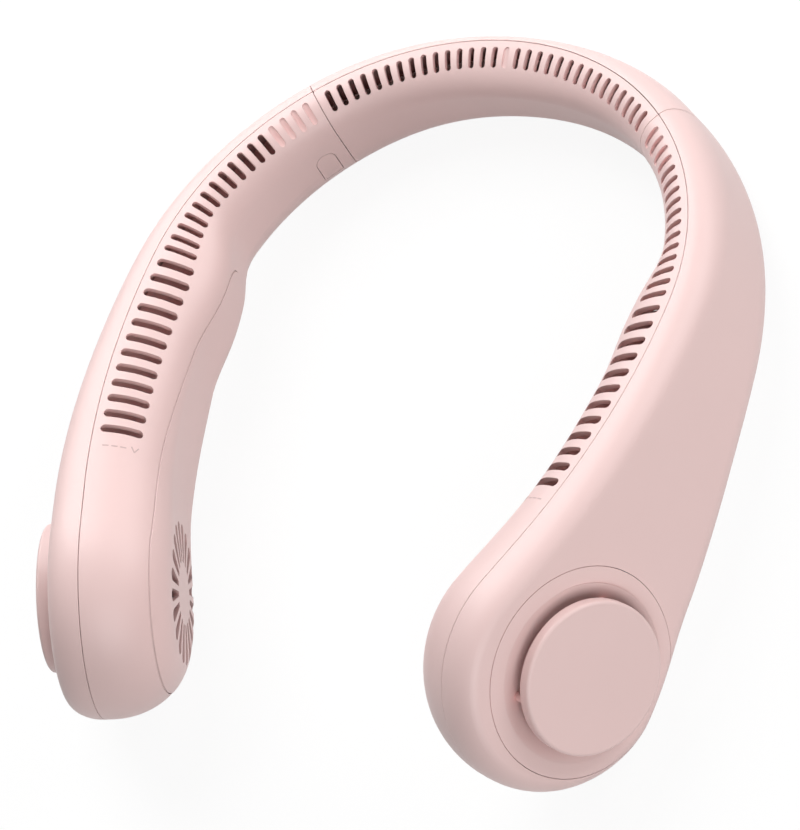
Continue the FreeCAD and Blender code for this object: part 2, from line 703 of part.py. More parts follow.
def inlet_disc():
    """Floating disc on short posts that stand on the ring's lip."""
    frame = fan_frame()
    low = DISC_PROUD - DISC_SKIRT
    disc = cylinder(frame, DISC_RADIUS, low, DISC_PROUD)
    edges = [e for e in disc.Edges if e.Closed and abs(height_on(frame, e) - DISC_PROUD) < WALL / 4]
    disc = disc.makeFillet(DISC_EDGE_RADIUS, edges)
    disc = disc.cut(cylinder(frame, DISC_RADIUS - DISC_WALL, low - OVERCUT, DISC_PROUD - DISC_WALL))
    circle = (THROAT_RADIUS + RING_LIP_RADIUS) / 2
    for k in range(DISC_POSTS):
        turn = math.radians(DISC_FIRST_POST_DEG + 360.0 * k / DISC_POSTS)
        disc = disc.fuse(cylinder(frame, DISC_POST_RADIUS, -RING_LIP_DEPTH, DISC_PROUD - DISC_WALL / 2,
                                  up=circle * math.cos(turn), along=circle * math.sin(turn)))
    return disc


def height_on(frame, edge):
    return frame.inverse().multVec(edge.Vertexes[0].Point).z


def motor_levels():
    """Heights along the fan axis of the motor's main faces."""
    base = -motor_seat_depth()
    seat = base + BASE_THICKNESS
    tube_top = seat + BASE_TUBE_HEIGHT
    return base, seat, tube_top


def rotor_radius():
    return STATOR_RADIUS + AIR_GAP + MAGNET_THICKNESS + ROTOR_WALL


def motor_screw_set(radius, low, high):
    frame = fan_frame()
    turns = [2 * math.pi * k / MOTOR_SCREWS for k in range(MOTOR_SCREWS)]
    return [cylinder(frame, radius, low, high, up=MOTOR_SCREW_CIRCLE * math.cos(a),
                     along=MOTOR_SCREW_CIRCLE * math.sin(a)) for a in turns]


def motor_base():
    """Flange on the grille's hub with the tube that carries the bearings."""
    base, seat, tube_top = motor_levels()
    bore = BEARING_RADIUS + BEARING_SEAT_FIT
    solid = turned(fan_frame(), [
        (0, base), (BASE_RADIUS, base), (BASE_RADIUS, seat), (bore + TUBE_WALL, seat),
        (bore + TUBE_WALL, tube_top), (bore, tube_top), (bore, seat), (0, seat)])
    return solid.cut(motor_screw_set(MOTOR_SCREW_RADIUS + MOTOR_FIT, base - OVERCUT, seat + OVERCUT))


def motor_screws():
    base, seat, tube_top = motor_levels()
    screws = []
    heads = motor_screw_set(MOTOR_SCREW_HEAD, seat, seat + MOTOR_SCREW_RADIUS)
    for head, shank in zip(heads, motor_screw_set(MOTOR_SCREW_RADIUS, base - MOTOR_SCREW_BITE, seat)):
        screws.append(head.fuse(shank))
    return Part.makeCompound(screws)


def bearings():
    base, seat, tube_top = motor_levels()
    bore = SHAFT_RADIUS + SHAFT_RUNNING_FIT
    rings = []
    for low in (seat, tube_top - BEARING_LENGTH):
        rings.append(turned(fan_frame(), [
            (bore, low), (BEARING_RADIUS, low), (BEARING_RADIUS, low + BEARING_LENGTH),
            (bore, low + BEARING_LENGTH)]))
    return Part.makeCompound(rings)


def stator_span():
    base, seat, tube_top = motor_levels()
    high = tube_top - COIL_BUILD - MOTOR_FIT
    return high - STATOR_HEIGHT, high


def teeth(width, inner, outer, low, high):
    frame = fan_frame()
    bars = []
    for k in range(STATOR_TEETH):
        bar = Part.makeBox(outer - inner, width, high - low, Vector(inner, -width / 2, low))
        bar.rotate(ORIGIN, Z, 360.0 * k / STATOR_TEETH)
        bar.Placement = frame.multiply(bar.Placement)
        bars.append(bar)
    return bars


def stator_core():
    """Laminated star: a back ring, teeth and their widened tips."""
    low, high = stator_span()
    bore = BEARING_RADIUS + BEARING_SEAT_FIT + TUBE_WALL + MOTOR_FIT
    frame = fan_frame()
    back = turned(frame, [(bore, low), (bore + STATOR_BACK, low), (bore + STATOR_BACK, high), (bore, high)])
    tip_ring = turned(frame, [
        (STATOR_RADIUS - TOOTH_TIP, low), (STATOR_RADIUS, low),
        (STATOR_RADIUS, high), (STATOR_RADIUS - TOOTH_TIP, high)])
    tip_width = STATOR_RADIUS * math.pi / STATOR_TEETH * 1.4
    tips = [tip_ring.common(bar) for bar in teeth(tip_width, bore, STATOR_RADIUS, low, high)]
    bars = teeth(TOOTH_WIDTH, bore + STATOR_BACK / 2, STATOR_RADIUS - TOOTH_TIP / 2, low, high)
    return back.fuse(bars + tips)


def stator_coils():
    low, high = stator_span()
    inner = BEARING_RADIUS + BEARING_SEAT_FIT + TUBE_WALL + STATOR_BACK + 3 * MOTOR_FIT
    outer = STATOR_RADIUS - TOOTH_TIP - 2 * MOTOR_FIT
    hulls = teeth(TOOTH_WIDTH + 2 * COIL_BUILD, inner, outer, low - COIL_BUILD, high + COIL_BUILD)
    cores = teeth(TOOTH_WIDTH + 2 * MOTOR_FIT, inner - MOTOR_FIT, outer + MOTOR_FIT,
                  low - MOTOR_FIT, high + MOTOR_FIT)
    return Part.makeCompound([hull.cut(core) for hull, core in zip(hulls, cores)])


def rotor_plate_height():
    return motor_levels()[2] + COIL_BUILD


def rotor_cup():
    """Steel can over the stator, carried by the shaft."""
    low = stator_span()[0]
    plate = rotor_plate_height()
    r = rotor_radius()
    bore = SHAFT_RADIUS + MOTOR_FIT
    return turned(fan_frame(), [
        (bore, plate), (r - ROTOR_WALL, plate), (r - ROTOR_WALL, low), (r, low),
        (r, plate + ROTOR_WALL), (bore, plate + ROTOR_WALL)])


def rotor_magnet():
    low, high = stator_span()
    outer = rotor_radius() - ROTOR_WALL - MOTOR_FIT
    inner = STATOR_RADIUS + AIR_GAP + MOTOR_FIT
    return turned(fan_frame(), [(inner, low), (outer, low), (outer, high), (inner, high)])


def motor_shaft():
    seat = motor_levels()[1]
    return cylinder(fan_frame(), SHAFT_RADIUS, seat + MOTOR_FIT, rotor_plate_height() + ROTOR_WALL)


def wheel_blade(inner, outer):
    """One bowed blade in plan, swept back from its root."""
    sweep = math.radians(BLADE_SWEEP_DEG)
    root = Vector(inner, 0, 0)
    tip = Vector(outer * math.cos(sweep), outer * math.sin(sweep), 0)
    across = Z.cross(tip - root).normalize()
    middle = (root + tip) * 0.5 - across * BLADE_BOW
    side = across * BLADE_THICKNESS
    return Part.Wire([
        Part.Arc(root, middle, tip).toShape(),
        Part.makeLine(tip, tip + side),
        Part.Arc(tip + side, middle + side, root + side).toShape(),
        Part.makeLine(root + side, root)])


def blower_wheel():
    """Double-inlet wheel: a hub cup, a middle plate, blades and two rims."""
    frame = fan_frame()
    low, high = -WHEEL_BACK_DEPTH, -WHEEL_FRONT_DEPTH
    plate = rotor_plate_height() + ROTOR_WALL + MOTOR_FIT
    bore = rotor_radius() + MOTOR_FIT
    rim = WHEEL_RADIUS - WHEEL_RIM
    can_low = stator_span()[0]
    wheel = turned(frame, [
        (0, plate), (bore, plate), (bore, can_low), (bore + HUB_WALL, can_low), (bore + HUB_WALL, plate),
        (WHEEL_RADIUS - WHEEL_RIM / 2, plate), (WHEEL_RADIUS - WHEEL_RIM / 2, plate + WHEEL_PLATE),
        (0, plate + WHEEL_PLATE)])
    outline = wheel_blade(BLADE_INNER_RADIUS, WHEEL_RADIUS - WHEEL_RIM / 2)
    outline.translate(Vector(0, 0, low + WHEEL_PLATE / 2))
    blade = Part.Face(outline).extrude(Z * (high - low - WHEEL_PLATE))
    pieces = []
    for k in range(BLADES):
        copy = blade.copy()
        copy.rotate(ORIGIN, Z, 360.0 * k / BLADES)
        copy.Placement = frame.multiply(copy.Placement)
        pieces.append(copy)
    for bottom in (low, high - WHEEL_PLATE):
        pieces.append(turned(frame, [
            (rim, bottom), (WHEEL_RADIUS, bottom), (WHEEL_RADIUS, bottom + WHEEL_PLATE),
            (rim, bottom + WHEEL_PLATE)]))
    return wheel.fuse(pieces)


def floor_depth(at):
    return FLOOR_DEPTH_SEAM + FLOOR_SLOPE * (at - SEAM_AT)


def duct_floor():
    """Strip that parts the air duct from the cell and the board."""
    wires = []
    for at in spread(FLOOR_FROM, FLOOR_TO):
        s = Section(at)
        top = -floor_depth(at)
        side = WALL + FLOOR_GAP
        wires.append(s.rectangle(-side, side - s.thick, top, top - FLOOR_THICKNESS))
    return loft(wires)


def cell_radius():
    """Half of what the arm's narrow end leaves free, under the floor or between the faces."""
    s = Section(CELL_FROM)
    under_floor = s.high - WALL - floor_depth(CELL_FROM) - FLOOR_THICKNESS - CELL_GAP - CELL_ROOM
    between_faces = s.thick - 2 * (WALL + CELL_ROOM)
    return min(under_floor, between_faces) / 2


def cell():
    """Cylindrical cell hung under the duct floor, with its raised positive cap."""
    radius = cell_radius()
    ends = []
    for at in (CELL_FROM, CELL_TO):
        s = Section(at)
        depth = floor_depth(at) + FLOOR_THICKNESS + CELL_GAP + radius
        ends.append(s.point(-s.thick / 2 + CELL_ROOM, -depth))
    axis = ends[1] - ends[0]
    can = Part.makeCylinder(radius, axis.Length, ends[0], axis)
    cap = Part.makeCylinder(CELL_CAP_RADIUS, axis.Length + CELL_CAP_HEIGHT, ends[0], axis)
    return can.fuse(cap)


def seam_sleeve():
    """Spigot inside the seam that joins the neck to the arm."""
    ends = [SEAM_AT - SLEEVE_REACH, SEAM_AT + SLEEVE_REACH]
    outer = loft([Section(at).loop(WALL + SLEEVE_FIT) for at in ends])
    inner = loft([Section(at).loop(WALL + SLEEVE_FIT + SLEEVE_WALL)
                  for at in (ends[0] - SLEEVE_WALL, ends[1] + SLEEVE_WALL)])
    return outer.cut(inner)


def wiring_ribbon():
    """Flat cable that links the two arms through the neck."""
    reach = SEAM_AT + SLEEVE_REACH
    outer = -WALL - SLEEVE_FIT - SLEEVE_WALL - RIBBON_GAP
    wires = []
    for at in spread(-reach, reach):
        share = abs(at) / SEAM_AT
        middle = -RIBBON_DEPTH_NECK - (RIBBON_DEPTH_SEAM - RIBBON_DEPTH_NECK) * share
        wires.append(Section(at).rectangle(outer, outer - RIBBON_THICKNESS,
                                           middle + RIBBON_WIDTH / 2, middle - RIBBON_WIDTH / 2))
    return loft(wires)


def board_frame():
    return Section(BOARD_AT).frame


def board_posts():
    """Posts on the outer shell, drilled for the board's screws."""
    frame = board_frame()
    posts = []
    for along in (-BOARD_POST_ALONG, BOARD_POST_ALONG):
        near = along ** 2 / (2 * NECK_RADIUS) + WALL / 2
        post = cylinder(frame, BOARD_POST_RADIUS, -BOARD_DEPTH, -near, -BOARD_POST_DOWN, along)
        hole = cylinder(frame, BOARD_SCREW_RADIUS + SCREW_HOLE_FIT, -BOARD_DEPTH,
                        BOARD_SCREW_LENGTH - BOARD_DEPTH, -BOARD_POST_DOWN, along)
        posts.append(post.cut(hole))
    return posts


def control_board():
    frame = board_frame()
    back = -BOARD_DEPTH - BOARD_THICKNESS
    board = block(frame, (-BOARD_TOP - BOARD_HEIGHT, -BOARD_TOP), (-BOARD_LENGTH / 2, BOARD_LENGTH / 2),
                  (back, -BOARD_DEPTH))
    holes = [cylinder(frame, BOARD_SCREW_RADIUS + SCREW_HOLE_FIT, back - OVERCUT, 0, -BOARD_POST_DOWN, along)
             for along in (-BOARD_POST_ALONG, BOARD_POST_ALONG)]
    return board.cut(holes)


def board_screws():
    frame = board_frame()
    back = -BOARD_DEPTH - BOARD_THICKNESS
    screws = []
    for along in (-BOARD_POST_ALONG, BOARD_POST_ALONG):
        head = cylinder(frame, BOARD_SCREW_HEAD_RADIUS, back - BOARD_SCREW_HEAD_HEIGHT, back,
                        -BOARD_POST_DOWN, along)
        shank = cylinder(frame, BOARD_SCREW_RADIUS, back, back + BOARD_SCREW_LENGTH, -BOARD_POST_DOWN, along)
        screws.append(head.fuse(shank))
    return Part.makeCompound(screws)


def switch_top():
    return SWITCH_HEIGHT - BOARD_DEPTH


def plunger_top():
    return switch_top() + SWITCH_PLUNGER_LENGTH / 2


def tact_switch():
    frame = board_frame()
    half = SWITCH_SIDE / 2
    body = block(frame, (-BUTTON_DOWN - half, half - BUTTON_DOWN), (-half, half),
                 (-BOARD_DEPTH, switch_top()))
    bottom = plunger_top() - SWITCH_PLUNGER_LENGTH - BUTTON_TRAVEL - SWITCH_SLACK
    return body.cut(cylinder(frame, SWITCH_PLUNGER_RADIUS + SWITCH_PLUNGER_FIT, bottom, 0, -BUTTON_DOWN))


def switch_plunger():
    top = plunger_top()
    return cylinder(board_frame(), SWITCH_PLUNGER_RADIUS, top - SWITCH_PLUNGER_LENGTH, top, -BUTTON_DOWN)


def power_button():
    """Round cap with a retaining flange behind the wall and a stem to the switch."""
    frame = board_frame()
    flange_top = -WALL - BUTTON_FLANGE_GAP
    flange_low = flange_top - BUTTON_FLANGE_THICKNESS
    cap = cylinder(frame, BUTTON_RADIUS, flange_low, BUTTON_PROUD, -BUTTON_DOWN)
    cap = cap.makeFillet(BUTTON_PROUD / 2, [e for e in cap.Edges if e.Closed
                                            and abs(height_on(frame, e) - BUTTON_PROUD) < BUTTON_FIT])
    flange = cylinder(frame, BUTTON_RADIUS + BUTTON_FLANGE, flange_low, flange_top, -BUTTON_DOWN)
    stem = cylinder(frame, BUTTON_STEM_RADIUS, plunger_top() + SWITCH_SLACK, flange_low, -BUTTON_DOWN)
    return cap.fuse([flange, stem])


def lamp_places():
    return [LAMP_FIRST_ALONG + k * LAMP_PITCH for k in range(LAMP_COUNT)]


def status_lamps():
    frame = board_frame()
    half = LAMP_SIDE / 2
    return Part.makeCompound([
        block(frame, (-LAMP_DOWN - half, half - LAMP_DOWN), (y - half, y + half),
              (-BOARD_DEPTH, LAMP_HEIGHT - BOARD_DEPTH)) for y in lamp_places()])


def light_pipes():
    """Clear pins from the lamps to the outer face."""
    frame = board_frame()
    pins = []
    for y in lamp_places():
        low = LAMP_HEIGHT - BOARD_DEPTH + LAMP_PIPE_GAP
        high = -y ** 2 / (2 * NECK_RADIUS) - LAMP_PIPE_GAP
        pins.append(cylinder(frame, LAMP_PIPE_RADIUS, low, high, -LAMP_DOWN, y))
    return Part.makeCompound(pins)


def control_cutters():
    """Holes in the outer shell for the button and the light pipes."""
    frame = board_frame()
    cutters = [cylinder(frame, BUTTON_RADIUS + BUTTON_FIT, -WALL - OVERCUT / 2, OVERCUT, -BUTTON_DOWN)]
    for y in lamp_places():
        cutters.append(cylinder(frame, LAMP_PIPE_RADIUS + LAMP_PIPE_FIT, -BOARD_DEPTH, OVERCUT,
                                -LAMP_DOWN, y))
    return cutters


def port_prism(grow, low, high):
    """Round-ended block on the board's back, run up the section from low to high."""
    frame = board_frame()
    half = PORT_THICKNESS / 2 + grow
    middle = -BOARD_DEPTH - BOARD_THICKNESS - PORT_THICKNESS / 2
    flat = PORT_WIDTH / 2 + grow - half
    start = Vector(low, PORT_ALONG, middle)
    outline = Part.Wire([
        Part.makeLine(start + Vector(0, -flat, -half), start + Vector(0, flat, -half)),
        Part.Arc(start + Vector(0, flat, -half), start + Vector(0, flat + half, 0),
                 start + Vector(0, flat, half)).toShape(),
        Part.makeLine(start + Vector(0, flat, half), start + Vector(0, -flat, half)),
        Part.Arc(start + Vector(0, -flat, half), start + Vector(0, -flat - half, 0),
                 start + Vector(0, -flat, -half)).toShape()])
    solid = Part.Face(outline).extrude(X * (high - low))
    solid.Placement = frame
    return solid


def port_mouth():
    return PORT_RECESS - Section(BOARD_AT + PORT_ALONG).high


def charging_port():
    """Round-ended metal socket with its tongue."""
    mouth = port_mouth()
    shell = port_prism(0.0, mouth, mouth + PORT_LENGTH)
    shell = shell.cut(port_prism(-PORT_WALL, mouth - OVERCUT, mouth + PORT_LENGTH - PORT_WALL))
    middle = -BOARD_DEPTH - BOARD_THICKNESS - PORT_THICKNESS / 2
    half = PORT_WIDTH / 2 - PORT_THICKNESS / 2
    back = mouth + PORT_LENGTH
    thick = PORT_TONGUE / 2
    tongue = block(board_frame(), (back - PORT_WALL - PORT_TONGUE_LENGTH, back),
                   (PORT_ALONG - half, PORT_ALONG + half), (middle - thick, middle + thick))
    return shell.fuse(tongue)


def port_cutter():
    mouth = port_mouth()
    return port_prism(PORT_FIT, mouth - 2 * OVERCUT, mouth + PORT_LENGTH / 2)


def mirrored(shape):
    return shape.mirror(ORIGIN, X)


def side_pieces():
    """The pieces that both arms share, drawn for the left arm."""
    inner_half, outer_half = arm_halves()
    return {
        "arm_inner_shell": arm_inner_shell(inner_half),
        "arm_outer_shell": arm_outer_shell(outer_half),
        "inner_cover": arm_cover(),
        "screw_plug": inner_half.common(plug_prism(PLUG_GAP)),
        "inlet_ring": inlet_ring(),
        "inlet_disc": inlet_disc(),
        "blower_wheel": blower_wheel(),
        "rotor_cup": rotor_cup(),
        "rotor_magnet": rotor_magnet(),
        "motor_shaft": motor_shaft(),
        "motor_bearings": bearings(),
        "motor_base": motor_base(),
        "motor_screws": motor_screws(),
        "stator_core": stator_core(),
        "stator_coils": stator_coils(),
        "duct_floor": duct_floor(),
        "cell": cell(),
        "seam_sleeve": seam_sleeve(),
    }


def control_pieces():
    """Pieces of the right arm's controls, drawn on the left and then mirrored."""
    return {
        "control_board": control_board(),
        "board_screws": board_screws(),
        "tact_switch": tact_switch(),
        "switch_plunger": switch_plunger(),
        "power_button": power_button(),
        "status_lamps": status_lamps(),
        "light_pipes": light_pipes(),
        "charging_port": charging_port(),
    }


def assemble():
    """All pieces by name, in the worn position."""
    pieces = {}
    pieces["neck_inner_shell"], pieces["neck_outer_shell"] = neck_shells()
    pieces["wiring_ribbon"] = wiring_ribbon()
    pieces["case_screws"] = Part.makeCompound([case_screw(), mirrored(case_screw())])
    for name, shape in side_pieces().items():
        pieces["left_" + name] = shape
        twin = shape
        if name == "arm_outer_shell":
            twin = shape.fuse(board_posts()).cut(control_cutters())
        if name == "arm_inner_shell":
            twin = shape.cut(port_cutter())
        pieces["right_" + name] = mirrored(twin)
    for name, shape in control_pieces().items():
        pieces[name] = mirrored(shape)
    return pieces


def outline_points(pieces, names):
    """Points of the surface that can touch the table."""
    points = []
    for name in names:
        points += pieces[name].tessellate(0.2)[0]
    return points


def table_tilt(pieces):
    """Angle about X at which the neck and both ends touch the table together."""
    neck = outline_points(pieces, ["neck_inner_shell", "neck_outer_shell"])
    arms = outline_points(pieces, ["left_arm_inner_shell", "left_arm_outer_shell", "left_inner_cover"])
    low, high = math.radians(-30.0), 0.0
    for _ in range(40):
        tilt = (low + high) / 2
        lowest = [min(p.y * math.sin(tilt) + p.z * math.cos(tilt) for p in group) for group in (neck, arms)]
        if lowest[0] > lowest[1]:
            high = tilt
        else:
            low = tilt
    return tilt


def table_placement(pieces):
    """Moves the worn hoop onto the table, with the middle of its footprint at the origin."""
    turn = Placement(ORIGIN, Rotation(X, math.degrees(table_tilt(pieces))))
    names = [n for n in pieces if n.endswith(("shell", "cover", "disc"))]
    points = [turn.multVec(p) for p in outline_points(pieces, names)]
    middle = (min(p.y for p in points) + max(p.y for p in points)) / 2
    lowest = min(p.z for p in points)
    return Placement(Vector(0, -middle, -lowest), turn.Rotation)


def main():
    pieces = assemble()
    place = table_placement(pieces)
    os.makedirs("parts", exist_ok=True)
    for name, shape in pieces.items():
        shape.Placement = place.multiply(shape.Placement)
        shape.exportStep("parts/" + name + ".step")
    return pieces, place


PIECES, TABLE = main()
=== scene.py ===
"""Looks of the bladeless neck fan: finishes, inlet lips, printed marks, studio light and camera.

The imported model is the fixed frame: metres, +Z up, the fan lying on the table with its
open side towards -Y. The wearer's left arm is at +X.
"""

import json
import math
from collections import namedtuple

import bpy
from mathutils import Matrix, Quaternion, Vector


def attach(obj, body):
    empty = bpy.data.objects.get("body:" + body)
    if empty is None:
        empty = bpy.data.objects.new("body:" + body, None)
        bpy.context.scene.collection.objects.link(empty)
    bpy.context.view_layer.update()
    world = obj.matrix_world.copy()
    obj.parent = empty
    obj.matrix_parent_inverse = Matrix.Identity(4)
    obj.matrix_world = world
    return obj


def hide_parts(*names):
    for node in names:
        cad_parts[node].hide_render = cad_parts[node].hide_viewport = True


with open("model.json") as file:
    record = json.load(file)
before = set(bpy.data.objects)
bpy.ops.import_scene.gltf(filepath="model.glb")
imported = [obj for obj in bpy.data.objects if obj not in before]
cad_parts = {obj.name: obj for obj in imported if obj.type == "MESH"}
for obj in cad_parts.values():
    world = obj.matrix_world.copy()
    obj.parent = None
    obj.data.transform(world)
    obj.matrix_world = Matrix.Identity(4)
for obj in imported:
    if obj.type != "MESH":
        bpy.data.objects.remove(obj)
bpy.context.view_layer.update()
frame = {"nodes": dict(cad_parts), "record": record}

MM = 0.001
MIRROR = Vector((-1, 1, 1))

PaintedRecessShading = namedtuple("PaintedRecessShading", "reach shut open colour")
Patch = namedtuple("Patch", "place right up outward")

# Camera of the photograph, which is 800 by 830 pixels; azimuths run from +X towards +Y
CAMERA_TARGET = Vector((0.5, -9.6, 26.4)) * MM
CAMERA_DISTANCE = 1108.9 * MM
CAMERA_AZIMUTH_DEG = -27.57
CAMERA_ELEVATION_DEG = 53.44
CAMERA_ROLL_DEG = -50.51
LENS_MM = 180.45
SENSOR_MM = 36.0

# Softboxes round the object: azimuth, elevation, power in watts
LAMP_DISTANCE = 1.1
LAMP_SIDE = 0.7
LAMPS = {
    "key": (120.0, 55.0, 7.5),
    "back_left": (45.0, 25.0, 5.4),
    "back_right": (135.0, 25.0, 5.6),
    "front_left": (315.0, 25.0, 5.7),
}

# Floor and surround: share and strength of the white paper that the camera and reflections see
FLOOR_SIDE = 8.0
FLOOR_GREY = 0.4
FLOOR_ROUGHNESS = 0.9
PAPER_SHARE = 0.75
PAPER_STRENGTH = 1.21
SURROUND_STRENGTH = 0.06

# Colours, linear
SHELL_PINK = (0.840, 0.612, 0.590)
# Rose of the wheel and inner parts, lighter than the shell pink so that the insides seen through the
# slots look lit: painted light
INNER_PAINTED_LIGHT_ROSE = (0.960, 0.640, 0.620)
# Darker rose that the pink turns to deep in slots and under the discs: painted shade
PAINTED_SHADE_ROSE = (0.800, 0.470, 0.455)
# Paler pink that the shells turn to inside the hairline seams, lightening their shade: painted light
SEAM_PAINTED_LIGHT_PINK = (0.960, 0.780, 0.760)
# Dark rose that the cover's pink turns to deep in the grille slots: painted shade
GRILLE_PAINTED_SHADE_ROSE = (0.340, 0.165, 0.160)
MARK_ROSE = (0.600, 0.420, 0.410)
WHITE = (1.0, 1.0, 1.0)
OFF_WHITE = (0.72, 0.70, 0.64)
CLEAR = (0.90, 0.90, 0.88)
BLACK = (0.018, 0.018, 0.019)
STEEL = (0.56, 0.56, 0.58)
DARK_STEEL = (0.26, 0.26, 0.28)
MAGNET_GREY = (0.045, 0.045, 0.048)
BRONZE = (0.52, 0.30, 0.13)
COPPER = (0.72, 0.28, 0.13)
CELL_BLUE = (0.03, 0.12, 0.32)
BOARD_GREEN = (0.015, 0.09, 0.045)
RIBBON_GREY = (0.72, 0.66, 0.64)

# Grain of the plastics: scales of the noise per metre, spreads about the plain value, depth
NOISE_DETAIL = 3.0
NOISE_ROUGHNESS = 0.5
MOTTLE_SCALE = 35.0
MOTTLE_SPREAD = 0.02
GLOSS_SCALE = 260.0
GLOSS_SPREAD = 0.04
GRAIN_SCALE = 2600.0
GRAIN_DETAIL = 2.0
GRAIN_DEPTH = 0.004 * MM
SHEEN_ROUGHNESS = 0.5
INK_ROUGHNESS = 0.5

# Satin pink of the outside, with softened edges
SATIN_ROUGHNESS = 0.46
SATIN_EDGE = 0.22 * MM
SATIN_SHEEN = 0.12

# Streaks of the metals
STREAK_SCALE = 900.0
LAMINATION_SCALE = 3000.0
WIRE_SCALE = 5000.0
STREAK_DETAIL = 4.0
STREAK_ROUGHNESS = 0.6
STREAK_SPREAD = 0.08
STREAK_DEPTH = 0.002 * MM

# Clear light pipes
CLOUD_SCALE = 400.0
CLOUD_SPREAD = 0.05
PIPE_GLOSS_SCALE = 900.0
PIPE_ROUGHNESS_LOW = 0.18
PIPE_ROUGHNESS_HIGH = 0.28
PIPE_TRANSMISSION = 0.5

# Painted shade and painted light in recesses: where little open sky is seen the pink turns darker in
# slots, grille and under the discs, and paler in the seams;
# how near their walls stand, the shares of open sky at which the tint is full and at which it is gone,
# and its colour
SHORT_RAYS = 4
SLOT_PAINTED_SHADE = PaintedRecessShading(3.5 * MM, 0.35, 0.75, PAINTED_SHADE_ROSE)
GRILLE_PAINTED_SHADE = PaintedRecessShading(7.0 * MM, 0.45, 0.92, GRILLE_PAINTED_SHADE_ROSE)
RING_PAINTED_SHADE = PaintedRecessShading(7.0 * MM, 0.15, 0.75, PAINTED_SHADE_ROSE)
SEAM_PAINTED_LIGHT = PaintedRecessShading(0.6 * MM, 0.35, 0.85, SEAM_PAINTED_LIGHT_PINK)

# Finishes of the record's material slots: the satin pink ones by name and the recesses where shade and
# light are painted into their pink, the plain plastics by name, colour and roughness, the metals also by
# the scale of their streaks
SATIN_PINKS = {
    "shell_inner": ("satin_pink_inner", (SLOT_PAINTED_SHADE, SEAM_PAINTED_LIGHT)),
    "shell_outer": ("satin_pink_outer", (SLOT_PAINTED_SHADE, SEAM_PAINTED_LIGHT)),
    "cover": ("satin_pink_cover", (GRILLE_PAINTED_SHADE, SEAM_PAINTED_LIGHT)),
    "ring": ("satin_pink_ring", (RING_PAINTED_SHADE,)),
    "disc": ("satin_pink_disc", (RING_PAINTED_SHADE,)),
    "button": ("satin_pink_button", ()),
}
PLAIN_PLASTICS = {
    "wheel": ("rose_wheel", INNER_PAINTED_LIGHT_ROSE, 0.5),
    "inner_plastic": ("rose_inside", INNER_PAINTED_LIGHT_ROSE, 0.55),
    "motor_base": ("black_base", BLACK, 0.5),
    "magnet": ("magnet", MAGNET_GREY, 0.6),
    "cell": ("blue_wrap", CELL_BLUE, 0.3),
    "ribbon": ("flat_cable", RIBBON_GREY, 0.5),
    "board": ("solder_mask", BOARD_GREEN, 0.3),
    "switch": ("black_switch", BLACK, 0.35),
    "plunger": ("off_white_plunger", OFF_WHITE, 0.35),
    "lamp": ("lamp", OFF_WHITE, 0.25),
}
METALS = {
    "steel": ("plated_steel", STEEL, 0.3, STREAK_SCALE),
    "lamination": ("laminations", DARK_STEEL, 0.45, LAMINATION_SCALE),
    "bronze": ("sintered_bronze", BRONZE, 0.45, STREAK_SCALE),
    "copper": ("enamelled_copper", COPPER, 0.28, WIRE_SCALE),
    "screw": ("zinc_plate", STEEL, 0.28, STREAK_SCALE),
    "port": ("port_steel", STEEL, 0.3, STREAK_SCALE),
}

# Lip that carries the dish of each inlet ring on under its disc: radius, height over the ring
DISC_PROUD = 5.6 * MM
LIP_OUTER = Vector((23.4, -0.04)) * MM
LIP_MIDDLE = Vector((20.5, -0.75)) * MM
LIP_INNER = Vector((16.9, -2.75)) * MM
LIP_FOOT = -3.05 * MM
LIP_CURVE_STEPS = 10
LIP_TURN_STEPS = 128
SHARP_EDGE_DEG = 35.0

# End of a board post that stands out of the right outer shell's lower edge: its place, the way out
# there, how far round it the shell is pressed flush and how far a point may stand out or be sunk
POST_END = Vector((-79.8, 59.9, 8.9)) * MM
POST_OUTWARD = Vector((-0.84, 0.42, -0.33))
POST_FACING = 0.5
POST_REACH = 4.0 * MM
POST_SKIN = 0.03 * MM
POST_SUNK = 0.01 * MM

# Printed marks: three bars and a chevron across each arm, an open ring and a bar on the button
ARM_PATCH = Patch(
    place=Vector((69.1, -38.1, 57.0)) * MM,
    right=Vector((-0.804, 0.130, -0.577)),
    up=Vector((-0.298, -0.933, 0.204)),
    outward=Vector((-0.512, 0.336, 0.789)),
)
BUTTON_PATCH = Patch(
    place=Vector((-87.32, 48.76, 18.59)) * MM,
    right=Vector((-0.336, -0.920, 0.201)),
    up=Vector((0.176, 0.148, 0.973)),
    outward=Vector((-0.925, 0.362, 0.112)),
)
BAR_STARTS_MM = (1.0, 3.4, 5.8)
BAR_LENGTH_MM = 1.7
CHEVRON_MM = ((8.8, -0.8), (9.8, 0.8), (10.8, -0.8))
SYMBOL_RADIUS_MM = 1.7
SYMBOL_GAP_DEG = 40.0
SYMBOL_STEPS = 40
SYMBOL_BAR_MM = (0.5, 2.1)
STROKE_WIDTH_MM = 0.36
STROKE_STEP_MM = 0.2
STROKE_HEIGHT = 0.05 * MM
STROKE_CORNERS = 4
CAST_FROM = 4.0 * MM


def new_material(name):
    """Empty node material: returns it with its tree and its shader."""
    material = bpy.data.materials.new(name)
    material.use_nodes = True
    tree = material.node_tree
    return material, tree, tree.nodes["Principled BSDF"]


def noise(tree, scale, detail=NOISE_DETAIL, roughness=NOISE_ROUGHNESS):
    """Noise in the object's own metres."""
    place = tree.nodes.new("ShaderNodeTexCoord")
    node = tree.nodes.new("ShaderNodeTexNoise")
    node.inputs["Scale"].default_value = scale
    node.inputs["Detail"].default_value = detail
    node.inputs["Roughness"].default_value = roughness
    tree.links.new(place.outputs["Object"], node.inputs["Vector"])
    return node.outputs["Fac"]


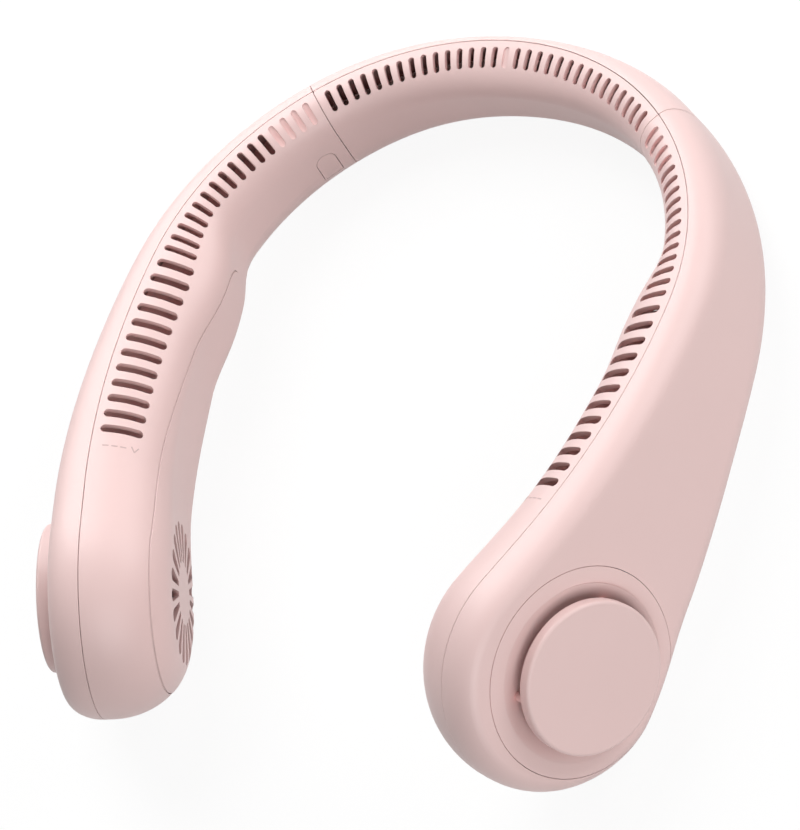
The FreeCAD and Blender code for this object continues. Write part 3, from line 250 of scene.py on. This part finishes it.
def vary(tree, factor, low, high, socket):
    """Drives a number socket between low and high by a 0 to 1 factor."""
    node = tree.nodes.new("ShaderNodeMapRange")
    node.inputs["To Min"].default_value = low
    node.inputs["To Max"].default_value = high
    tree.links.new(factor, node.inputs["Value"])
    tree.links.new(node.outputs["Result"], socket)


def tint(tree, factor, colour, spread, socket):
    """Drives a colour socket between a slightly darker and a slightly lighter colour."""
    node = tree.nodes.new("ShaderNodeValToRGB")
    dark, light = node.color_ramp.elements
    dark.color = (*[channel * (1 - spread) for channel in colour], 1)
    light.color = (*[min(channel * (1 + spread), 1.0) for channel in colour], 1)
    tree.links.new(factor, node.inputs["Fac"])
    tree.links.new(node.outputs["Color"], socket)
    return node.outputs["Color"]


def bump(tree, shader, height, depth, edge_radius=0.0):
    """Grain of the surface, over edges that are softened by edge_radius."""
    node = tree.nodes.new("ShaderNodeBump")
    node.inputs["Strength"].default_value = 1.0
    node.inputs["Distance"].default_value = depth
    tree.links.new(height, node.inputs["Height"])
    if edge_radius:
        edge = tree.nodes.new("ShaderNodeBevel")
        edge.samples = SHORT_RAYS
        edge.inputs["Radius"].default_value = edge_radius
        tree.links.new(edge.outputs["Normal"], node.inputs["Normal"])
    tree.links.new(node.outputs["Normal"], shader.inputs["Normal"])


def paint_recess_shading(tree, colour, recess, socket):
    """Paints shade into a colour, or light with the seam pink: it turns to the recess's colour where
    little open sky is seen, inside slots, seams and other narrow places.
    """
    openness = tree.nodes.new("ShaderNodeAmbientOcclusion")
    openness.samples = SHORT_RAYS
    openness.inputs["Distance"].default_value = recess.reach
    share = tree.nodes.new("ShaderNodeMapRange")
    share.inputs["From Min"].default_value = recess.shut
    share.inputs["From Max"].default_value = recess.open
    mix = tree.nodes.new("ShaderNodeMix")
    mix.data_type = "RGBA"
    mix.inputs["A"].default_value = (*recess.colour, 1)
    tree.links.new(openness.outputs["AO"], share.inputs["Value"])
    tree.links.new(share.outputs["Result"], mix.inputs["Factor"])
    tree.links.new(colour, mix.inputs["B"])
    tree.links.new(mix.outputs["Result"], socket)
    return mix.outputs["Result"]


def moulded(name, colour, roughness, edge=0.0, sheen=0.0, recesses=()):
    """Moulded plastic: a faint mottle, fine spark-eroded grain and soft edges, with painted shade and
    painted light in the recesses given.
    """
    material, tree, shader = new_material(name)
    base = shader.inputs["Base Color"]
    shade = tint(tree, noise(tree, MOTTLE_SCALE), colour, MOTTLE_SPREAD, base)
    for recess in recesses:
        shade = paint_recess_shading(tree, shade, recess, base)
    gloss = noise(tree, GLOSS_SCALE)
    vary(tree, gloss, roughness - GLOSS_SPREAD, roughness + GLOSS_SPREAD, shader.inputs["Roughness"])
    bump(tree, shader, noise(tree, GRAIN_SCALE, GRAIN_DETAIL), GRAIN_DEPTH, edge)
    shader.inputs["Sheen Weight"].default_value = sheen
    shader.inputs["Sheen Roughness"].default_value = SHEEN_ROUGHNESS
    return material


def metal(name, colour, roughness, scale):
    """Drawn or rolled metal with fine streaks."""
    material, tree, shader = new_material(name)
    shader.inputs["Metallic"].default_value = 1.0
    streaks = noise(tree, scale, STREAK_DETAIL, STREAK_ROUGHNESS)
    tint(tree, streaks, colour, STREAK_SPREAD, shader.inputs["Base Color"])
    vary(tree, streaks, roughness - STREAK_SPREAD, roughness + STREAK_SPREAD, shader.inputs["Roughness"])
    bump(tree, shader, streaks, STREAK_DEPTH)
    return material


def clear_plastic(name):
    """Clear light pipe with a milky core."""
    material, tree, shader = new_material(name)
    tint(tree, noise(tree, CLOUD_SCALE), CLEAR, CLOUD_SPREAD, shader.inputs["Base Color"])
    gloss = noise(tree, PIPE_GLOSS_SCALE)
    vary(tree, gloss, PIPE_ROUGHNESS_LOW, PIPE_ROUGHNESS_HIGH, shader.inputs["Roughness"])
    shader.inputs["Transmission Weight"].default_value = PIPE_TRANSMISSION
    return material


def finishes():
    """One finish for each material slot of the record."""
    made = {"light_pipe": clear_plastic("light_pipe")}
    for slot, (name, recesses) in SATIN_PINKS.items():
        made[slot] = moulded(name, SHELL_PINK, SATIN_ROUGHNESS, SATIN_EDGE, SATIN_SHEEN, recesses)
    for slot, (name, colour, roughness) in PLAIN_PLASTICS.items():
        made[slot] = moulded(name, colour, roughness)
    for slot, (name, colour, roughness, scale) in METALS.items():
        made[slot] = metal(name, colour, roughness, scale)
    return made


def dress_nodes(finish):
    """Gives every CAD node the finish of its slot."""
    for row in frame["record"]["subparts"]:
        node = frame["nodes"][row["node"]]
        for slot in node.material_slots:
            slot.material = finish[row["material_slot"]]


def add_piece(name, corners, faces, material, body):
    """Closed mesh that rides on a body of the frame."""
    mesh = bpy.data.meshes.new(name)
    mesh.from_pydata(corners, [], faces)
    mesh.materials.append(material)
    mesh.shade_smooth()
    mesh.set_sharp_from_angle(angle=math.radians(SHARP_EDGE_DEG))
    piece = bpy.data.objects.new(name, mesh)
    bpy.context.scene.collection.objects.link(piece)
    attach(piece, body)


def band_faces(rings, width):
    """Quads of a closed loop of rings with width corners each."""
    faces = []
    for ring in range(rings):
        here = ring * width
        there = (ring + 1) % rings * width
        for corner in range(width):
            beside = (corner + 1) % width
            faces.append((here + corner, here + beside, there + beside, there + corner))
    return faces


def lip_profile():
    """Section of the lip: a soft curve down to the throat and a foot sunk in the ring."""
    profile = []
    for step in range(LIP_CURVE_STEPS + 1):
        gone = step / LIP_CURVE_STEPS
        left = 1 - gone
        profile.append(LIP_OUTER * left ** 2 + LIP_MIDDLE * 2 * gone * left + LIP_INNER * gone ** 2)
    return profile + [Vector((LIP_INNER.x, LIP_FOOT)), Vector((LIP_OUTER.x, LIP_FOOT))]


def add_inlet_lips(finish):
    """Bell mouth inside each inlet ring, about the axis of the disc's face."""
    profile = lip_profile()
    for mount in frame["record"]["mounts"]:
        if not mount["name"].endswith("disc_face"):
            continue
        axis = Vector(mount["axis"])
        centre = Vector(mount["pos_m"]) - axis * DISC_PROUD
        first = axis.orthogonal().normalized()
        second = axis.cross(first)
        corners = []
        for step in range(LIP_TURN_STEPS):
            turn = 2 * math.pi * step / LIP_TURN_STEPS
            spoke = first * math.cos(turn) + second * math.sin(turn)
            corners += [centre + spoke * point.x + axis * point.y for point in profile]
        name = mount["name"].replace("disc_face", "inlet_lip")
        faces = band_faces(LIP_TURN_STEPS, len(profile))
        add_piece(name, corners, faces, finish["ring"], "housing")


def flush_normals(mesh, fresh):
    """Keeps the shading of a mesh, with new normals at the corners of some of its points."""
    normals = [Vector(corner.vector) for corner in mesh.corner_normals]
    for loop in mesh.loops:
        if loop.vertex_index in fresh:
            normals[loop.index] = fresh[loop.vertex_index]
    mesh.normals_split_custom_set(normals)


def add_trimmed_shell(finish):
    """The right outer shell with its post end pressed flush, by the form of the left one."""
    twin = frame["nodes"]["left_arm_outer_shell"]
    mesh = frame["nodes"]["right_arm_outer_shell"].data.copy()
    fresh = {}
    for point in mesh.vertices:
        if (point.co - POST_END).length > POST_REACH:
            continue
        _, spot, normal, _ = twin.closest_point_on_mesh(point.co * MIRROR)
        spot = spot * MIRROR
        normal = normal * MIRROR
        height = (point.co - spot).dot(normal)
        if normal.dot(POST_OUTWARD) > POST_FACING and height > -POST_SKIN:
            fresh[point.index] = normal
            if height > POST_SKIN:
                point.co = spot - normal * POST_SUNK
    flush_normals(mesh, fresh)
    piece = bpy.data.objects.new("right_arm_outer_shell_trimmed", mesh)
    piece.data.materials[0] = finish["shell_outer"]
    bpy.context.scene.collection.objects.link(piece)
    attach(piece, "housing")
    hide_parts("right_arm_outer_shell")


def resample(stroke):
    """Points along a stroke at even steps, with its own corners kept."""
    points = []
    for start, end in zip(stroke, stroke[1:]):
        steps = max(1, round((end - start).length / STROKE_STEP_MM))
        points += [start.lerp(end, step / steps) for step in range(steps)]
    return points + [stroke[-1]]


def stroke_sides(points):
    """Left and right edges of a stroke in its own plane."""
    sides = []
    for index, point in enumerate(points):
        before = point - points[max(index - 1, 0)]
        after = points[min(index + 1, len(points) - 1)] - point
        ahead = (before.normalized() + after.normalized()).normalized()
        across = Vector((-ahead.y, ahead.x)) * STROKE_WIDTH_MM / 2
        sides.append((point + across, point - across))
    return sides


def stroke_corners(stroke, node, patch):
    """Corners of a stroke laid on a node's surface, ring after ring along it."""
    corners = []
    for edges in stroke_sides(resample([Vector(point) for point in stroke])):
        ring = []
        for edge in edges:
            over = patch.place + patch.right * edge.x * MM + patch.up * edge.y * MM
            _, spot, normal, _ = node.ray_cast(over + patch.outward * CAST_FROM, -patch.outward)
            ring += [spot + normal * STROKE_HEIGHT, spot - normal * STROKE_HEIGHT]
        corners += [ring[0], ring[2], ring[3], ring[1]]
    return corners


def stroke_faces(rings):
    """Walls and two ends of a stroke of so many rings."""
    last = STROKE_CORNERS * (rings - 1)
    walls = band_faces(rings, STROKE_CORNERS)[:last]
    return walls + [(3, 2, 1, 0), (last, last + 1, last + 2, last + 3)]


def add_mark(name, node, strokes, patch, ink, body):
    """Strokes of ink laid on the surface of a node; stroke points are in millimetres."""
    mirrored = patch.right.cross(patch.up).dot(patch.outward) < 0
    corners = []
    faces = []
    for stroke in strokes:
        laid = stroke_corners(stroke, frame["nodes"][node], patch)
        for face in stroke_faces(len(laid) // STROKE_CORNERS):
            order = face[::-1] if mirrored else face
            faces.append([len(corners) + corner for corner in order])
        corners += laid
    add_piece(name, corners, faces, ink, body)


def arm_strokes():
    """Three bars and a chevron."""
    bars = [((start, 0.0), (start + BAR_LENGTH_MM, 0.0)) for start in BAR_STARTS_MM]
    return bars + [CHEVRON_MM]


def button_strokes():
    """Open ring with a bar in its gap."""
    gap = math.radians(SYMBOL_GAP_DEG)
    ring = []
    for step in range(SYMBOL_STEPS + 1):
        turn = gap + (2 * math.pi - 2 * gap) * step / SYMBOL_STEPS
        ring.append((SYMBOL_RADIUS_MM * math.sin(turn), SYMBOL_RADIUS_MM * math.cos(turn)))
    return [ring, [(0.0, height) for height in SYMBOL_BAR_MM]]


def add_marks():
    """Printed marks of the two arms and of the button."""
    ink = moulded("printed_ink", MARK_ROSE, INK_ROUGHNESS)
    other_arm = Patch(*[part * MIRROR for part in ARM_PATCH])
    arm = arm_strokes()
    add_mark("left_arm_mark", "left_arm_inner_shell", arm, ARM_PATCH, ink, "housing")
    add_mark("right_arm_mark", "right_arm_inner_shell", arm, other_arm, ink, "housing")
    add_mark("button_mark", "power_button", button_strokes(), BUTTON_PATCH, ink, "button")


def direction(azimuth_deg, elevation_deg):
    """Unit vector at an azimuth and an elevation."""
    azimuth = math.radians(azimuth_deg)
    elevation = math.radians(elevation_deg)
    level = math.cos(elevation)
    return Vector((level * math.cos(azimuth), level * math.sin(azimuth), math.sin(elevation)))


def stand(thing, back, distance, roll_deg=0.0):
    """Stands a camera or a lamp back from the middle of the object, looking at it."""
    thing.rotation_mode = "QUATERNION"
    level = (-back).to_track_quat("-Z", "Y")
    thing.rotation_quaternion = level @ Quaternion((0, 0, 1), math.radians(roll_deg))
    thing.location = CAMERA_TARGET + back * distance
    bpy.context.scene.collection.objects.link(thing)


def add_camera():
    """Camera at the photograph's angle, turned about its own axis as the photograph is."""
    data = bpy.data.cameras.new("camera")
    data.lens = LENS_MM
    data.sensor_width = SENSOR_MM
    camera = bpy.data.objects.new("camera", data)
    stand(camera, direction(CAMERA_AZIMUTH_DEG, CAMERA_ELEVATION_DEG), CAMERA_DISTANCE, CAMERA_ROLL_DEG)
    bpy.context.scene.camera = camera


def add_lamp(name, azimuth_deg, elevation_deg, power):
    """Square softbox that looks at the middle of the object."""
    data = bpy.data.lights.new(name, "AREA")
    data.size = LAMP_SIDE
    data.energy = power
    stand(bpy.data.objects.new(name, data), direction(azimuth_deg, elevation_deg), LAMP_DISTANCE)


def seen_rays(tree):
    """One for rays of the camera, of reflections and through clear plastic, else nought."""
    path = tree.nodes.new("ShaderNodeLightPath")
    seen = path.outputs["Is Camera Ray"]
    for ray in ("Is Glossy Ray", "Is Transmission Ray"):
        either = tree.nodes.new("ShaderNodeMath")
        either.operation = "MAXIMUM"
        tree.links.new(seen, either.inputs[0])
        tree.links.new(path.outputs[ray], either.inputs[1])
        seen = either.outputs["Value"]
    return seen


def floor_paper():
    """Grey under the lamps, with a share of white paper for the camera and reflections."""
    material, tree, shader = new_material("white_floor")
    shader.inputs["Base Color"].default_value = (FLOOR_GREY, FLOOR_GREY, FLOOR_GREY, 1)
    shader.inputs["Roughness"].default_value = FLOOR_ROUGHNESS
    paper = tree.nodes.new("ShaderNodeEmission")
    paper.inputs["Color"].default_value = (*WHITE, 1)
    paper.inputs["Strength"].default_value = PAPER_STRENGTH
    share = tree.nodes.new("ShaderNodeMath")
    share.operation = "MULTIPLY"
    share.inputs[1].default_value = PAPER_SHARE
    mix = tree.nodes.new("ShaderNodeMixShader")
    tree.links.new(seen_rays(tree), share.inputs[0])
    tree.links.new(share.outputs["Value"], mix.inputs["Fac"])
    tree.links.new(shader.outputs["BSDF"], mix.inputs[1])
    tree.links.new(paper.outputs["Emission"], mix.inputs[2])
    tree.links.new(mix.outputs["Shader"], tree.nodes["Material Output"].inputs["Surface"])
    return material


def add_floor():
    """Pale floor that keeps a faint shadow of the object."""
    half = FLOOR_SIDE / 2
    corners = [(-half, -half, 0), (half, -half, 0), (half, half, 0), (-half, half, 0)]
    mesh = bpy.data.meshes.new("floor")
    mesh.from_pydata(corners, [], [(0, 1, 2, 3)])
    mesh.materials.append(floor_paper())
    floor = bpy.data.objects.new("floor", mesh)
    bpy.context.scene.collection.objects.link(floor)


def add_world():
    """Surround: white to the camera and in reflections, a faint light otherwise."""
    world = bpy.data.worlds.new("studio")
    world.use_nodes = True
    bpy.context.scene.world = world
    tree = world.node_tree
    surround = tree.nodes["Background"]
    surround.inputs["Color"].default_value = (*WHITE, 1)
    surround.inputs["Strength"].default_value = SURROUND_STRENGTH
    paper = tree.nodes.new("ShaderNodeBackground")
    paper.inputs["Color"].default_value = (*WHITE, 1)
    mix = tree.nodes.new("ShaderNodeMixShader")
    tree.links.new(seen_rays(tree), mix.inputs["Fac"])
    tree.links.new(surround.outputs["Background"], mix.inputs[1])
    tree.links.new(paper.outputs["Background"], mix.inputs[2])
    tree.links.new(mix.outputs["Shader"], tree.nodes["World Output"].inputs["Surface"])


def add_studio():
    """Floor, surround and lamps of a plain studio."""
    add_world()
    add_floor()
    for name, (azimuth_deg, elevation_deg, power) in LAMPS.items():
        add_lamp(name, azimuth_deg, elevation_deg, power)
    bpy.context.scene.view_settings.view_transform = "Standard"


finish = finishes()
dress_nodes(finish)
add_trimmed_shell(finish)
add_inlet_lips(finish)
add_marks()
add_camera()
add_studio()
